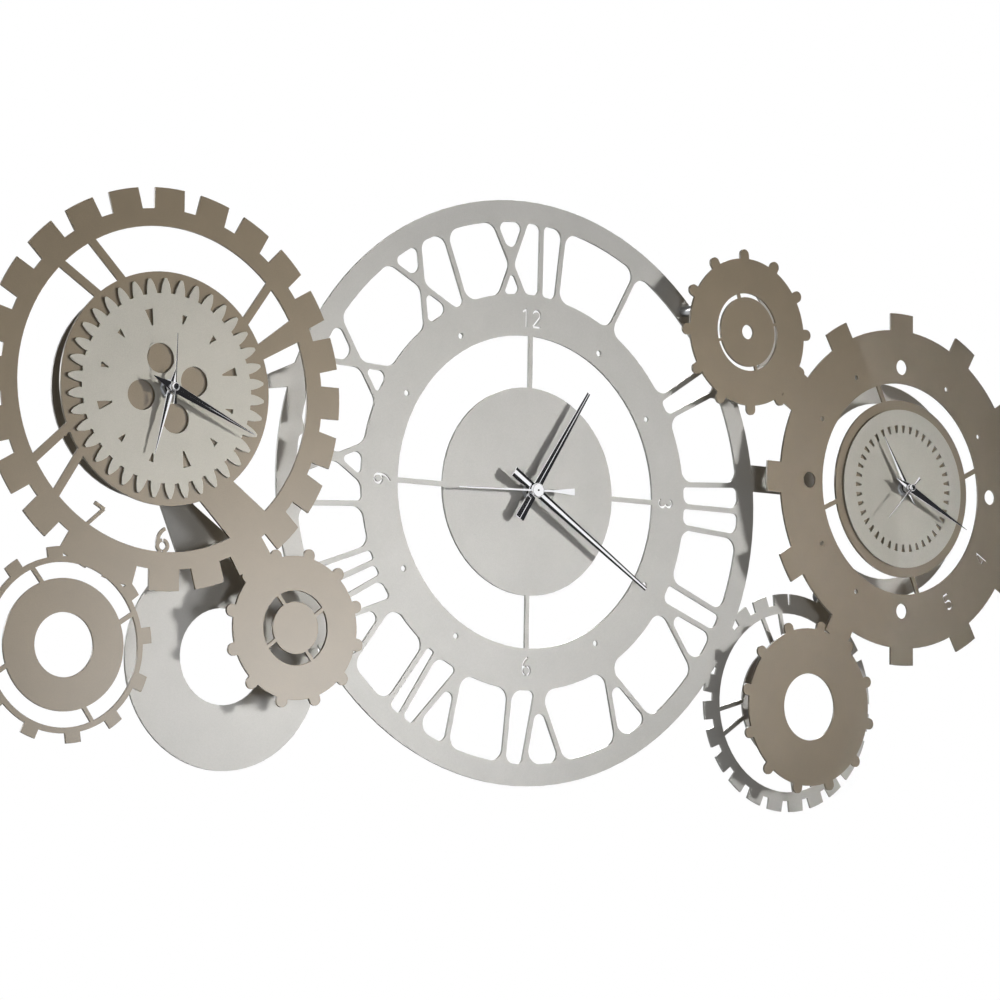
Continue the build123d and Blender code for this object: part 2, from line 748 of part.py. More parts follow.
def left_dial():
    outline = Circle(left_dial_root)
    pitch = 360 / left_dial_teeth
    outline = outline + [leaf_tooth(left_dial_phase + step * pitch) for step in range(left_dial_teeth)]
    cuts = [Circle(bush_radius + washer_play)]
    for step in range(4):
        place = spot(left_dial_hole_circle, left_dial_turn + 90 * step)
        cuts.append(Pos(*place) * Circle(left_dial_hole_radius))
    for step in range(left_wedge_count):
        kind = step % len(left_wedge_outer)
        width = left_wedge_width[kind]
        angle = left_dial_turn + step * 360 / left_wedge_count
        point = width * wedge_point_share
        cuts.append(wedge(left_wedge_outer[kind], left_wedge_inner[kind], width, point, angle))
    return Pos(*left_axis) * plate(outline - cuts, dial_level, dial_thickness)


def right_dial():
    cuts = [Circle(bush_radius + washer_play)]
    sizes = (right_wedge_outer, right_wedge_inner, right_wedge_outer_width, right_wedge_inner_width)
    for step in range(right_wedge_count):
        cuts.append(wedge(*sizes, step * 360 / right_wedge_count))
    return Pos(*right_axis) * plate(Circle(right_dial_radius) - cuts, dial_level, dial_thickness)


def dial_spacers():
    """Thin round pads between each gear sheet and its dial, and one ring round each bush."""
    pads = []
    for centre in (left_axis, right_axis):
        pads.append(tube(washer_radius, bush_radius + washer_play, gear_front, dial_gap, centre))
        for step in range(4):
            place = spot(dial_pad_circle, 45 + 90 * step, centre)
            pads.append(disc(dial_pad_radius, gear_front, dial_gap, place))
    return pads


def sheet_pillars():
    return [tube(pillar_radius, screw_radius, back_front, layer_gap, place) for place in pillar_places()]


def pillar_screws():
    """Socket screws from behind the back sheet into the pillars."""
    screws = []
    for place in pillar_places():
        head_level = back_level - screw_head_height
        head = disc(screw_head_radius, head_level, screw_head_height, place)
        shank = disc(screw_radius, back_level, screw_length, place)
        socket = RegularPolygon(screw_socket_radius, 6)
        recess = Pos(place[0], place[1], head_level) * extrude(socket, screw_socket_depth)
        screws.append(head + shank - recess)
    return screws


def wall_bracket():
    """Hat-shaped hanger: web on the wall, two legs and two flanges on the back of the sheet."""
    half = bracket_width / 2
    low = hang_height - bracket_height / 2
    high = hang_height + bracket_height / 2
    web = slab((-half, low, 0), (half, high, bracket_steel))
    lower_leg = slab((-half, low, 0), (half, low + bracket_steel, back_level))
    upper_leg = slab((-half, high - bracket_steel, 0), (half, high, back_level))
    flange_level = back_level - bracket_steel
    reach = bracket_flange - bracket_steel
    lower_flange = slab((-half, low - reach, flange_level), (half, low + bracket_steel, back_level))
    upper_flange = slab((-half, high - bracket_steel, flange_level), (half, high + reach, back_level))
    body = web + lower_leg + upper_leg + lower_flange + upper_flange
    for side in (-1, 1):
        place = (side * hang_spacing / 2, hang_height)
        body = body - disc(hang_hole_radius, -cut_overrun, bracket_steel + 2 * cut_overrun, place)
    return body


def wall_feet():
    """Plastic feet that keep the back sheet at an even distance from the wall."""
    feet = []
    for place in foot_places():
        shaft = Pos(place[0], place[1], foot_bevel) * extrude(Circle(foot_radius), back_level - foot_bevel)
        tip = Pos(place[0], place[1], foot_bevel / 2) * Cone(foot_tip_radius, foot_radius, foot_bevel)
        feet.append(shaft + tip)
    return feet


def gear_outline(teeth, module, phase):
    """Small straight-sided gear; phase is the anticlockwise angle of one tooth."""
    pitch_radius = teeth * module / 2
    pitch_arc = 360 / teeth
    root = pitch_radius - tooth_dedendum_share * module
    tip = pitch_radius + tooth_addendum_share * module
    levels = (
        (root, tooth_root_share), (pitch_radius, tooth_pitch_share), (tip, tooth_tip_share),
    )
    corners = []
    for step in range(teeth):
        middle = phase + step * pitch_arc
        for radius, share in levels:
            turn = radians(middle - share * pitch_arc / 2)
            corners.append((radius * cos(turn), radius * sin(turn)))
        for radius, share in reversed(levels):
            turn = radians(middle + share * pitch_arc / 2)
            corners.append((radius * cos(turn), radius * sin(turn)))
    return Polygon(*corners, align=None)


def meshed_phase(phase, teeth, next_teeth, direction):
    """Phase of the next gear, lying in a direction from the first, so that the two are in mesh."""
    return direction + 180 + 180 / next_teeth - (phase - direction) * teeth / next_teeth


def beside(place, teeth, next_teeth, module, direction):
    """Middle of a gear that meshes with one at a place; directions run anticlockwise from x."""
    distance = (teeth + next_teeth) * module / 2
    turn = radians(direction)
    return place[0] + distance * cos(turn), place[1] + distance * sin(turn)


# Places of the arbors about the hand axis, and the phases that keep the wheels in mesh
motion_place = beside((0, 0), cannon_teeth, motion_teeth, motion_module, motion_direction)
knob_place = beside(motion_place, motion_teeth, knob_teeth, motion_module, knob_direction)
third_place = beside((0, 0), second_teeth, third_pinion_teeth, train_module, third_direction)
rotor_place = beside(third_place, third_teeth, rotor_teeth, rotor_module, rotor_direction)
motion_phase = meshed_phase(0, cannon_teeth, motion_teeth, motion_direction)
hour_phase = meshed_phase(0, motion_pinion_teeth, hour_teeth, motion_direction + 180)
knob_phase = meshed_phase(motion_phase, motion_teeth, knob_teeth, knob_direction)
third_phase = meshed_phase(0, second_teeth, third_pinion_teeth, third_direction)
rotor_phase = meshed_phase(0, third_teeth, rotor_teeth, rotor_direction)

# Levels and places inside the case
cover_face = cover_thickness - case_depth
works_top = case_size / 2 - case_wall
battery_middle = battery_rise - case_size / 2
battery_depth = -bay_wall - battery_play - battery_radius
arbor_end = cover_face + bearing_height - bearing_depth + running_gap
motion_post_radius = second_arbor_radius + running_gap
motion_post_depth = motion_level + wheel_thickness + end_gap
board_left = -case_size / 2 + case_wall + board_play
board_centre = board_left + board_width / 2
board_posts = [(board_centre, board_middle + side * board_post_reach) for side in (-1, 1)]
stator_centre = rotor_place[1]
stator_posts = (
    (-stator_width / 2 + stator_leg_width / 2, stator_centre),
    (stator_width / 2 - stator_leg_width / 2, stator_centre),
)


def wheel(teeth, module, phase, level, thickness=wheel_thickness):
    return Pos(0, 0, -level - thickness) * extrude(gear_outline(teeth, module, phase), thickness)


def case(bush_top):
    """Moulded case, open to the back, with the threaded bush for the hands."""
    half = case_size / 2
    inner = half - case_wall
    rear = -case_depth - cut_overrun
    past = half + cut_overrun
    body = Pos(0, 0, -case_depth) * extrude(RectangleRounded(case_size, case_size, case_corner), case_depth)
    works = slab((-inner, works_floor + case_wall, rear), (inner, works_top, -case_wall))
    bay = slab((-inner, bay_wall - half, rear), (inner, works_floor, -bay_wall))
    seat = slab((-past, works_floor, rear), (past, past, cover_face))
    notch_top = works_floor + case_wall + cut_overrun
    notch_low = (-inner, works_floor - cut_overrun, rear)
    notch = slab(notch_low, (board_width - inner, notch_top, board_thickness - board_level))
    body = body - works - bay - seat - notch + disc(bush_radius, 0, bush_top)
    bore_length = case_wall + bush_top + 2 * cut_overrun
    body = body - disc(hour_pipe_radius + running_gap, -case_wall - cut_overrun, bore_length)
    post_length = motion_post_depth - case_wall / 2
    body = body + disc(motion_post_radius, -motion_post_depth, post_length, motion_place)
    for place, depth in ((third_place, second_level), (rotor_place, third_level)):
        end = end_gap - depth
        bore = small_arbor_radius + running_gap
        post = disc(bore + post_wall, end, -end - case_wall / 2, place)
        body = body + post - disc(bore, end - cut_overrun, bearing_depth + cut_overrun, place)
    for place in board_posts:
        body = body + disc(board_post_radius, -board_level, board_level - case_wall / 2, place)
    for place in stator_posts:
        body = body + disc(board_post_radius, -stator_level, stator_level - case_wall / 2, place)
    return body


def back_cover():
    """Flat cover over the works, with bearings for the arbors and a hole for the knob."""
    half = case_size / 2
    outline = RectangleRounded(case_size, case_size, case_corner)
    keep = Pos(0, (half + works_floor) / 2) * Rectangle(case_size, half - works_floor)
    body = Pos(0, 0, -case_depth) * extrude(outline & keep, cover_thickness)
    hole_length = cover_thickness + 2 * cut_overrun
    body = body - disc(knob_shaft_radius + running_gap, -case_depth - cut_overrun, hole_length, knob_place)
    arbors = [((0, 0), second_arbor_radius), (third_place, small_arbor_radius)]
    arbors.append((rotor_place, small_arbor_radius))
    for place, radius in arbors:
        bore = radius + running_gap
        body = body + disc(bore + post_wall, cover_face, bearing_height, place)
        bottom = cover_face + bearing_height - bearing_depth
        body = body - disc(bore, bottom, bearing_depth + cut_overrun, place)
    return body


def battery():
    """Round cell with its raised contact."""
    pip_middle = (battery_length + battery_pip_height) / 2
    pip = Pos(0, 0, pip_middle) * Cylinder(battery_pip_radius, battery_pip_height)
    body = Cylinder(battery_radius, battery_length) + pip
    return Pos(-battery_pip_height / 2, battery_middle, battery_depth) * Rot(0, 90, 0) * body


def battery_contacts():
    """Two sprung plates with a boss that touches each end of the cell."""
    wall = case_size / 2 - case_wall
    plates = []
    for side in (-1, 1):
        reach = (battery_length + battery_pip_height) / 2
        sheet = slab(
            (wall - contact_steel, battery_middle - contact_height / 2, battery_depth - contact_width / 2),
            (wall, battery_middle + contact_height / 2, battery_depth + contact_width / 2),
        )
        boss_length = wall - contact_steel - reach
        boss = Pos(wall - contact_steel - boss_length / 2, battery_middle, battery_depth) * Rot(0, 90, 0)
        contact = sheet + boss * Cylinder(contact_boss_radius, boss_length)
        plates.append(contact if side > 0 else mirror(contact, Plane.YZ))
    return plates


def circuit_board():
    low = (board_left, board_middle - board_height / 2, -board_level - board_thickness)
    high = (board_left + board_width, board_middle + board_height / 2, -board_level)
    return slab(low, high)


def motor_stator():
    """Soft iron plate round the magnet, with two legs to the coil's core."""
    half = stator_width / 2
    outline = Pos(0, stator_centre) * Rectangle(stator_width, stator_height)
    for side in (-1, 1):
        middle = side * (half - stator_leg_width / 2)
        start = (middle, stator_centre)
        end = (middle, coil_rise + coil_core_height / 2)
        outline = outline + strip(start, end, stator_leg_width)
    outline = outline + Pos(0, coil_rise) * Rectangle(stator_width, coil_core_height)
    outline = outline - Pos(*rotor_place) * Circle(magnet_radius + stator_gap)
    return plate(outline, -stator_level - stator_thickness, stator_thickness)


def motor_coil():
    """Winding on a flanged bobbin round the stator's core."""
    winding = Cylinder(coil_radius, coil_length)
    for side in (-1, 1):
        flange = Cylinder(bobbin_flange_radius, bobbin_flange)
        winding = winding + Pos(0, 0, side * (coil_length - bobbin_flange) / 2) * flange
    middle = -stator_level - stator_thickness / 2
    winding = Pos(0, coil_rise, middle) * Rot(0, 90, 0) * winding
    core = Pos(0, coil_rise, middle) * Box(coil_length + 2 * cut_overrun, coil_core_height, stator_thickness)
    return winding - core


def rotor():
    """Magnet and pinion on one arbor."""
    arbor_front = -third_level + end_gap + bearing_depth - running_gap
    body = disc(small_arbor_radius, arbor_end, arbor_front - arbor_end)
    body = body + disc(magnet_radius, -magnet_level - magnet_depth, magnet_depth)
    body = body + wheel(rotor_teeth, rotor_module, rotor_phase, third_level, magnet_level - third_level)
    return Pos(*rotor_place) * body


def third_wheel():
    arbor_front = -second_level + end_gap + bearing_depth - running_gap
    body = disc(small_arbor_radius, arbor_end, arbor_front - arbor_end)
    pinion_depth = third_level - second_level
    body = body + wheel(third_pinion_teeth, train_module, third_phase, second_level, pinion_depth)
    body = body + wheel(third_teeth, rotor_module, 0, third_level)
    return Pos(*third_place) * body


def second_wheel(arbor_top):
    body = disc(second_arbor_radius, arbor_end, arbor_top - arbor_end)
    return body + wheel(second_teeth, train_module, 0, second_level)


def minute_wheel(pipe_top):
    """Slip wheel, cannon pinion and pipe."""
    body = wheel(cannon_teeth, motion_module, 0, motion_level, minute_disc_level - motion_level)
    body = body + disc(minute_disc_radius, -minute_disc_level - wheel_thickness, wheel_thickness)
    body = body + disc(minute_pipe_radius, -motion_level, pipe_top + motion_level)
    rear = -minute_disc_level - wheel_thickness - cut_overrun
    return body - disc(second_arbor_radius + running_gap, rear, pipe_top - rear + cut_overrun)


def motion_wheel():
    body = wheel(motion_teeth, motion_module, motion_phase, motion_level)
    body = body + wheel(motion_pinion_teeth, motion_module, 0, hour_level, motion_level - hour_level)
    bore_depth = motion_post_depth + cut_overrun
    bore = disc(motion_post_radius + running_gap, -bore_depth, bore_depth)
    return Pos(*motion_place) * (body - bore)


def hour_wheel(pipe_top):
    body = wheel(hour_teeth, motion_module, hour_phase, hour_level)
    pipe_end = hour_level + wheel_thickness
    body = body + disc(hour_pipe_radius, -pipe_end, pipe_top + pipe_end)
    rear = -hour_level - wheel_thickness - cut_overrun
    return body - disc(minute_pipe_radius + running_gap, rear, pipe_top - rear + cut_overrun)


def setting_knob():
    """Fluted knob behind the cover, on a shaft with a pinion."""
    body = wheel(knob_teeth, motion_module, knob_phase, motion_level)
    shaft_end = case_depth + end_gap
    body = body + disc(knob_shaft_radius, -shaft_end, shaft_end - motion_level - wheel_thickness)
    outline = Circle(knob_radius)
    flutes = []
    for step in range(knob_flutes):
        flutes.append(Pos(*spot(knob_radius, step * 360 / knob_flutes)) * Circle(knob_flute_radius))
    knob = plate(outline - flutes, -case_depth - end_gap - knob_height, knob_height)
    return Pos(*knob_place) * (body + knob)


def roof_section(along, width, ridge):
    """Cross-section of a faceted hand: flat below, low sides and a ridge."""
    half = width / 2
    points = [(-half, along, 0), (half, along, 0), (half, along, hand_edge_height)]
    points += [(0, along, ridge), (-half, along, hand_edge_height)]
    return make_face(Polyline(*points, close=True))


def faceted_hand(length, tail, tip_width, hub_width, tail_width, bore, hub_wall):
    """Hand along +y with a lengthwise ridge, on a round hub with a bore."""
    ridge_share = point_ridge_share if tip_width < hand_ridge_height else 1
    end_ridge = hand_edge_height + (hand_ridge_height - hand_edge_height) * ridge_share
    stations = [(-tail, tail_width, end_ridge), (0, hub_width, hand_ridge_height)]
    stations.append((length, tip_width, end_ridge))
    blade = loft([roof_section(*station) for station in stations], ruled=True)
    hub = disc(bore + hub_wall, 0, hand_hub_height)
    return blade + hub - disc(bore, -cut_overrun, hand_hub_height + 2 * cut_overrun)


def needle(length, tail, tip_width, hub_width, tail_width, cap_radius, cap_height):
    """Second hand: flat needle with a wide counterweight, under a round cap."""
    waist = tail * needle_waist_share
    right_side = [(tail_width / 2, -tail), (hub_width / 2, -waist)]
    right_side += [(hub_width / 2, 0), (tip_width / 2, length)]
    left_side = [(-x, y) for x, y in reversed(right_side)]
    body = plate(Polygon(*right_side, *left_side, align=None), 0, needle_height)
    body = body + disc(cap_radius, 0, cap_height)
    circles = body.edges().filter_by(GeomType.CIRCLE)
    top = [edge for edge in circles if edge.center().Z > cap_height - match_tolerance]
    body = fillet(top, cap_height * corner_share)
    body = body + disc(cap_pin_radius, cap_height / 2, cap_height / 2 + cap_pin_height)
    return body - disc(second_arbor_radius, -cut_overrun, cap_bore_depth + cut_overrun)


def hang(shape):
    """Turn a drawn shape upright against the wall, with the origin at the hanging holes."""
    return Rot(90, 0, 0) * Pos(0, -hang_height, 0) * shape


def save(name, shapes):
    """Write one node from a shape or a list of separate shapes."""
    shapes = shapes if isinstance(shapes, list) else [shapes]
    solids = [solid for shape in shapes for solid in hang(shape).solids()]
    export_step(solids[0] if len(solids) == 1 else Compound(children=solids), f"parts/{name}.step")


def clock_parts(name, axis, rear, front, lift, step, angles, hands, cap):
    """Movement, wheels and hands of one clock, its bush clamping what lies from rear to front."""
    carried = front - rear
    nut_top = carried + washer_thickness + nut_thickness
    hour_base = carried + lift
    minute_base = hour_base + step
    second_base = minute_base + step
    hour_sizes, minute_sizes, second_sizes = hands
    place = Pos(axis[0], axis[1], rear)

    def put(piece, shape):
        save(f"{name}_{piece}", place * shape)

    put("case", case(nut_top))
    put("back_cover", back_cover())
    put("circuit_board", circuit_board())
    put("motor_stator", motor_stator())
    put("motor_coil", motor_coil())
    put("rotor", rotor())
    put("third_wheel", third_wheel())
    put("second_wheel", second_wheel(second_base + cap_bore_depth))
    put("minute_wheel", minute_wheel(minute_base + hand_hub_height))
    put("motion_wheel", motion_wheel())
    put("hour_wheel", hour_wheel(hour_base + hand_hub_height))
    put("setting_knob", setting_knob())
    hour = faceted_hand(**hour_sizes, bore=hour_pipe_radius, hub_wall=hour_hub_wall)
    put("hour_hand", Pos(0, 0, hour_base) * Rot(0, 0, -angles[0]) * hour)
    minute = faceted_hand(**minute_sizes, bore=minute_pipe_radius, hub_wall=minute_hub_wall)
    put("minute_hand", Pos(0, 0, minute_base) * Rot(0, 0, -angles[1]) * minute)
    second = needle(**second_sizes, **cap)
    put("second_hand", Pos(0, 0, second_base) * Rot(0, 0, -angles[2]) * second)
    washer = place * tube(washer_radius, bush_radius, carried, washer_thickness)
    nut_outline = RegularPolygon(nut_flats / 2, 6, major_radius=False) - Circle(bush_radius)
    nut = place * plate(nut_outline, carried + washer_thickness, nut_thickness)
    return washer, nut, place * battery(), [place * contact for contact in battery_contacts()]


os.makedirs("parts", exist_ok=True)
save("back_sheet", back_sheet())
save("left_gear_sheet", left_gear_sheet())
save("right_gear_sheet", right_gear_sheet())
save("left_dial", left_dial())
save("right_dial", right_dial())
save("dial_spacers", dial_spacers())
save("sheet_pillars", sheet_pillars())
save("pillar_screws", pillar_screws())
save("wall_bracket", wall_bracket())
save("wall_feet", wall_feet())
large_steps = (large_hand_lift, large_hand_step)
small_steps = (small_hand_lift, small_hand_step)
on_back = (back_level, back_front)
on_dial = (gear_level, dial_front)
fittings = [
    clock_parts("centre", (0, 0), *on_back, *large_steps, centre_angles, large_hands, large_cap),
    clock_parts("left", left_axis, *on_dial, *small_steps, left_angles, small_hands, small_cap),
    clock_parts("right", right_axis, *on_dial, *small_steps, right_angles, small_hands, small_cap),
]
washers, nuts, batteries, contact_pairs = zip(*fittings)
save("bush_washers", list(washers))
save("bush_nuts", list(nuts))
save("batteries", list(batteries))
save("battery_contacts", [contact for pair in contact_pairs for contact in pair])
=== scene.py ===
import json
from math import cos, radians, sin

import bmesh
import bpy
import numpy as np
from mathutils import Matrix, Vector


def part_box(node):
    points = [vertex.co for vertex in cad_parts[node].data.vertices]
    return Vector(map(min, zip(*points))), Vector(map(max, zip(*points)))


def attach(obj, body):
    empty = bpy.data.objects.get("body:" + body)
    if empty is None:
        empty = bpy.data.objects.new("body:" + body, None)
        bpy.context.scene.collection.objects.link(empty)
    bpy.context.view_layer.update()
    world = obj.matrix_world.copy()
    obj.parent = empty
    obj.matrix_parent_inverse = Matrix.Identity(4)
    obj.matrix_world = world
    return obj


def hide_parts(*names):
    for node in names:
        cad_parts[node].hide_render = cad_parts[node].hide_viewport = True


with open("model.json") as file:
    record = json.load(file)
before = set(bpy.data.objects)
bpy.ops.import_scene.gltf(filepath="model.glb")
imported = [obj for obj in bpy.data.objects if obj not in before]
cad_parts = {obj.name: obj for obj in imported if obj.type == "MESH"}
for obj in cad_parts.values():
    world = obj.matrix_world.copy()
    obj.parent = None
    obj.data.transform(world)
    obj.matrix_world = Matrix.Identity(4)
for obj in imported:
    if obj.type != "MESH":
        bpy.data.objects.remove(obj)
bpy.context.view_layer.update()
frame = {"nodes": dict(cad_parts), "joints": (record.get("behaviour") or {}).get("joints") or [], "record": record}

# Lengths are in metres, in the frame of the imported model: z up, the wall at y = 0.

nodes = frame["nodes"]
scene = bpy.context.scene
scene.view_settings.view_transform = "Standard"

MM = 0.001

# Middle of the big wheel's front
SHEET_FRONT = -0.024
WHEEL_DROP = -0.053
WHEEL = Vector((0, SHEET_FRONT, WHEEL_DROP))

# The photograph's camera: its offset from the wheel, its turns, and its sensor and lens in millimetres
CAMERA_OFFSET = Vector((-1.3613, -1.8845, -0.2439))
CAMERA_HEADING = radians(35.263)
CAMERA_RISE = radians(5.809)
CAMERA_ROLL = radians(0.854)
SENSOR_WIDTH = 36
FOCAL_LENGTH = 102.92


def add_camera():
    """Camera at the photograph's place, from its fitted place, heading, rise and roll."""
    place = WHEEL + CAMERA_OFFSET
    heading, rise, roll = CAMERA_HEADING, CAMERA_RISE, CAMERA_ROLL
    ahead = Vector((sin(heading) * cos(rise), cos(heading) * cos(rise), sin(rise)))
    right = Vector((cos(heading), -sin(heading), 0))
    above = right.cross(ahead)
    turned_right = right * cos(roll) + above * sin(roll)
    turned_above = above * cos(roll) - right * sin(roll)
    data = bpy.data.cameras.new("camera")
    data.sensor_width = SENSOR_WIDTH
    data.lens = FOCAL_LENGTH
    camera = bpy.data.objects.new("camera", data)
    turn = Matrix((turned_right, turned_above, -ahead)).transposed().to_4x4()
    camera.matrix_world = Matrix.Translation(place) @ turn
    scene.collection.objects.link(camera)
    scene.camera = camera


add_camera()


# Materials. Noise scales are per metre, and the painted highlight on the rims runs between the cosines of two
# angles from flat.

FLECK_SCALE = 1900.0
FLECK_ROUGHNESS = 0.06
CLOUD_SCALE = 28.0
PEEL_SCALE = 700.0
PEEL_DEPTH = 0.06 * MM
RIM_RADIUS = 0.5 * MM
RIM_SAMPLES = 4
RIM_HIGHLIGHT_START = 0.97
RIM_HIGHLIGHT_FULL = 0.75
GRAIN_DEPTH = 0.05 * MM
NOISE_LOW = 0.3
NOISE_HIGH = 0.7


def node(tree, kind, operation=None, **inputs):
    """New shader node; each input is a value, or a socket to link."""
    made = tree.nodes.new(kind)
    if operation:
        made.operation = operation
    for name, value in inputs.items():
        socket = made.inputs[name.replace("_", " ")]
        if isinstance(value, bpy.types.NodeSocket):
            tree.links.new(value, socket)
        else:
            socket.default_value = value
    return made


def maths(tree, operation, *values):
    """Math node on up to three values or sockets."""
    made = tree.nodes.new("ShaderNodeMath")
    made.operation = operation
    for socket, value in zip(made.inputs, values):
        if isinstance(value, bpy.types.NodeSocket):
            tree.links.new(value, socket)
        else:
            socket.default_value = value
    return made.outputs[0]


def spread(tree, value, low, high, new_low, new_high):
    """Map Range from low..high to new_low..new_high, held at its ends."""
    made = node(tree, "ShaderNodeMapRange", Value=value)
    made.inputs["From Min"].default_value = low
    made.inputs["From Max"].default_value = high
    made.inputs["To Min"].default_value = new_low
    made.inputs["To Max"].default_value = new_high
    return made.outputs["Result"]


def scaled(tree, colour, factor):
    """Colour times a factor that changes over the surface."""
    made = tree.nodes.new("ShaderNodeVectorMath")
    made.operation = "SCALE"
    tree.links.new(colour, made.inputs[0])
    tree.links.new(factor, made.inputs["Scale"])
    return made.outputs[0]


def new_group(name, inputs):
    """Node group with named inputs, and the outputs Colour, Roughness and Normal."""
    group = bpy.data.node_groups.new(name, "ShaderNodeTree")
    for title, kind, value in inputs:
        socket = group.interface.new_socket(title, in_out="INPUT", socket_type=kind)
        socket.default_value = value
    for title, kind in (("Colour", "Color"), ("Roughness", "Float"), ("Normal", "Vector")):
        group.interface.new_socket(title, in_out="OUTPUT", socket_type="NodeSocket" + kind)
    entry = group.nodes.new("NodeGroupInput").outputs
    leave = group.nodes.new("NodeGroupOutput").inputs
    return group, entry, leave


def powder_group():
    """Powder coat with fine pearl flecks, soft clouds, orange peel, and rounded rims whose colour is lightened by
    a painted highlight.
    """
    group, entry, leave = new_group(
        "powder coat",
        [
            ("Colour", "NodeSocketColor", (0.5, 0.5, 0.5, 1)),
            ("Fleck", "NodeSocketFloat", 0.12),
            ("Cloud", "NodeSocketFloat", 0.05),
            ("Rim Highlight", "NodeSocketFloat", 0.35),
            ("Peel", "NodeSocketFloat", 0.12),
            ("Gloss", "NodeSocketFloat", 0.36),
        ],
    )
    place = node(group, "ShaderNodeTexCoord").outputs["Object"]
    noise = "ShaderNodeTexNoise"
    fleck = node(group, noise, Vector=place, Scale=FLECK_SCALE, Detail=2.0, Roughness=0.7)
    cloud = node(group, noise, Vector=place, Scale=CLOUD_SCALE, Detail=3.0, Roughness=0.55)
    peel = node(group, noise, Vector=place, Scale=PEEL_SCALE, Detail=1.5, Roughness=0.5)
    flecks = spread(group, fleck.outputs["Fac"], NOISE_LOW, NOISE_HIGH, -1.0, 1.0)
    clouds = spread(group, cloud.outputs["Fac"], NOISE_LOW, NOISE_HIGH, -1.0, 1.0)
    rounded = node(group, "ShaderNodeBevel", Radius=RIM_RADIUS)
    rounded.samples = RIM_SAMPLES
    flat = node(group, "ShaderNodeNewGeometry").outputs["True Normal"]
    facing = node(group, "ShaderNodeVectorMath", "DOT_PRODUCT")
    group.links.new(rounded.outputs["Normal"], facing.inputs[0])
    group.links.new(flat, facing.inputs[1])
    # Painted highlight: the colour is made lighter where the rounded normal turns away from the flat face, that is
    # along the rims
    rim = spread(group, facing.outputs["Value"], RIM_HIGHLIGHT_START, RIM_HIGHLIGHT_FULL, 0.0, 1.0)
    tone = maths(group, "MULTIPLY_ADD", flecks, entry["Fleck"], 1.0)
    tone = maths(group, "MULTIPLY_ADD", clouds, entry["Cloud"], tone)
    tone = maths(group, "MULTIPLY_ADD", rim, entry["Rim Highlight"], tone)
    rough = maths(group, "MULTIPLY_ADD", flecks, FLECK_ROUGHNESS, entry["Gloss"])
    bump = node(group, "ShaderNodeBump", Height=peel.outputs["Fac"], Distance=PEEL_DEPTH)
    group.links.new(entry["Peel"], bump.inputs["Strength"])
    group.links.new(rounded.outputs["Normal"], bump.inputs["Normal"])
    group.links.new(scaled(group, entry["Colour"], tone), leave["Colour"])
    group.links.new(rough, leave["Roughness"])
    group.links.new(bump.outputs["Normal"], leave["Normal"])
    return group


def grain_group():
    """Fine scratches and tone changes for machined metal and moulded plastic."""
    group, entry, leave = new_group(
        "surface grain",
        [
            ("Colour", "NodeSocketColor", (0.5, 0.5, 0.5, 1)),
            ("Stretch", "NodeSocketVector", (1, 1, 1)),
            ("Scale", "NodeSocketFloat", 600.0),
            ("Tone", "NodeSocketFloat", 0.1),
            ("Gloss", "NodeSocketFloat", 0.3),
            ("Gloss Spread", "NodeSocketFloat", 0.08),
            ("Height", "NodeSocketFloat", 0.1),
        ],
    )
    place = node(group, "ShaderNodeTexCoord").outputs["Object"]
    stretched = node(group, "ShaderNodeVectorMath", "MULTIPLY")
    group.links.new(place, stretched.inputs[0])
    group.links.new(entry["Stretch"], stretched.inputs[1])
    place = stretched.outputs[0]
    grain = node(group, "ShaderNodeTexNoise", Vector=place, Detail=4.0, Roughness=0.6)
    group.links.new(entry["Scale"], grain.inputs["Scale"])
    centred = maths(group, "SUBTRACT", grain.outputs["Fac"], 0.5)
    tone = maths(group, "MULTIPLY_ADD", centred, entry["Tone"], 1.0)
    rough = maths(group, "MULTIPLY_ADD", centred, entry["Gloss Spread"], entry["Gloss"])
    bump = node(group, "ShaderNodeBump", Height=grain.outputs["Fac"], Distance=GRAIN_DEPTH)
    group.links.new(entry["Height"], bump.inputs["Strength"])
    group.links.new(scaled(group, entry["Colour"], tone), leave["Colour"])
    group.links.new(rough, leave["Roughness"])
    group.links.new(bump.outputs["Normal"], leave["Normal"])
    return group


POWDER = powder_group()
GRAIN = grain_group()


def new_material(name, group, colour, metallic, **values):
    """Material whose colour, roughness and normal come from a group with the given values."""
    material = bpy.data.materials.new(name)
    material.use_nodes = True
    tree = material.node_tree
    shader = tree.nodes["Principled BSDF"]
    finish = tree.nodes.new("ShaderNodeGroup")
    finish.node_tree = group
    if isinstance(colour, tuple):
        finish.inputs["Colour"].default_value = (*colour, 1)
    for title, value in values.items():
        finish.inputs[title.replace("_", " ")].default_value = value
    tree.links.new(finish.outputs["Colour"], shader.inputs["Base Color"])
    tree.links.new(finish.outputs["Roughness"], shader.inputs["Roughness"])
    tree.links.new(finish.outputs["Normal"], shader.inputs["Normal"])
    shader.inputs["Metallic"].default_value = metallic
    return material, tree, finish


def powder_paint(name, colour, sheen, **values):
    """Pearl powder coat on laser-cut sheet."""
    material, tree, _ = new_material(name, POWDER, colour, 0.0, **values)
    tree.nodes["Principled BSDF"].inputs["Specular IOR Level"].default_value = sheen
    return material


def grained(name, colour, metallic, **values):
    """Plain metal or plastic with fine grain."""
    return new_material(name, GRAIN, colour, metallic, **values)[0]


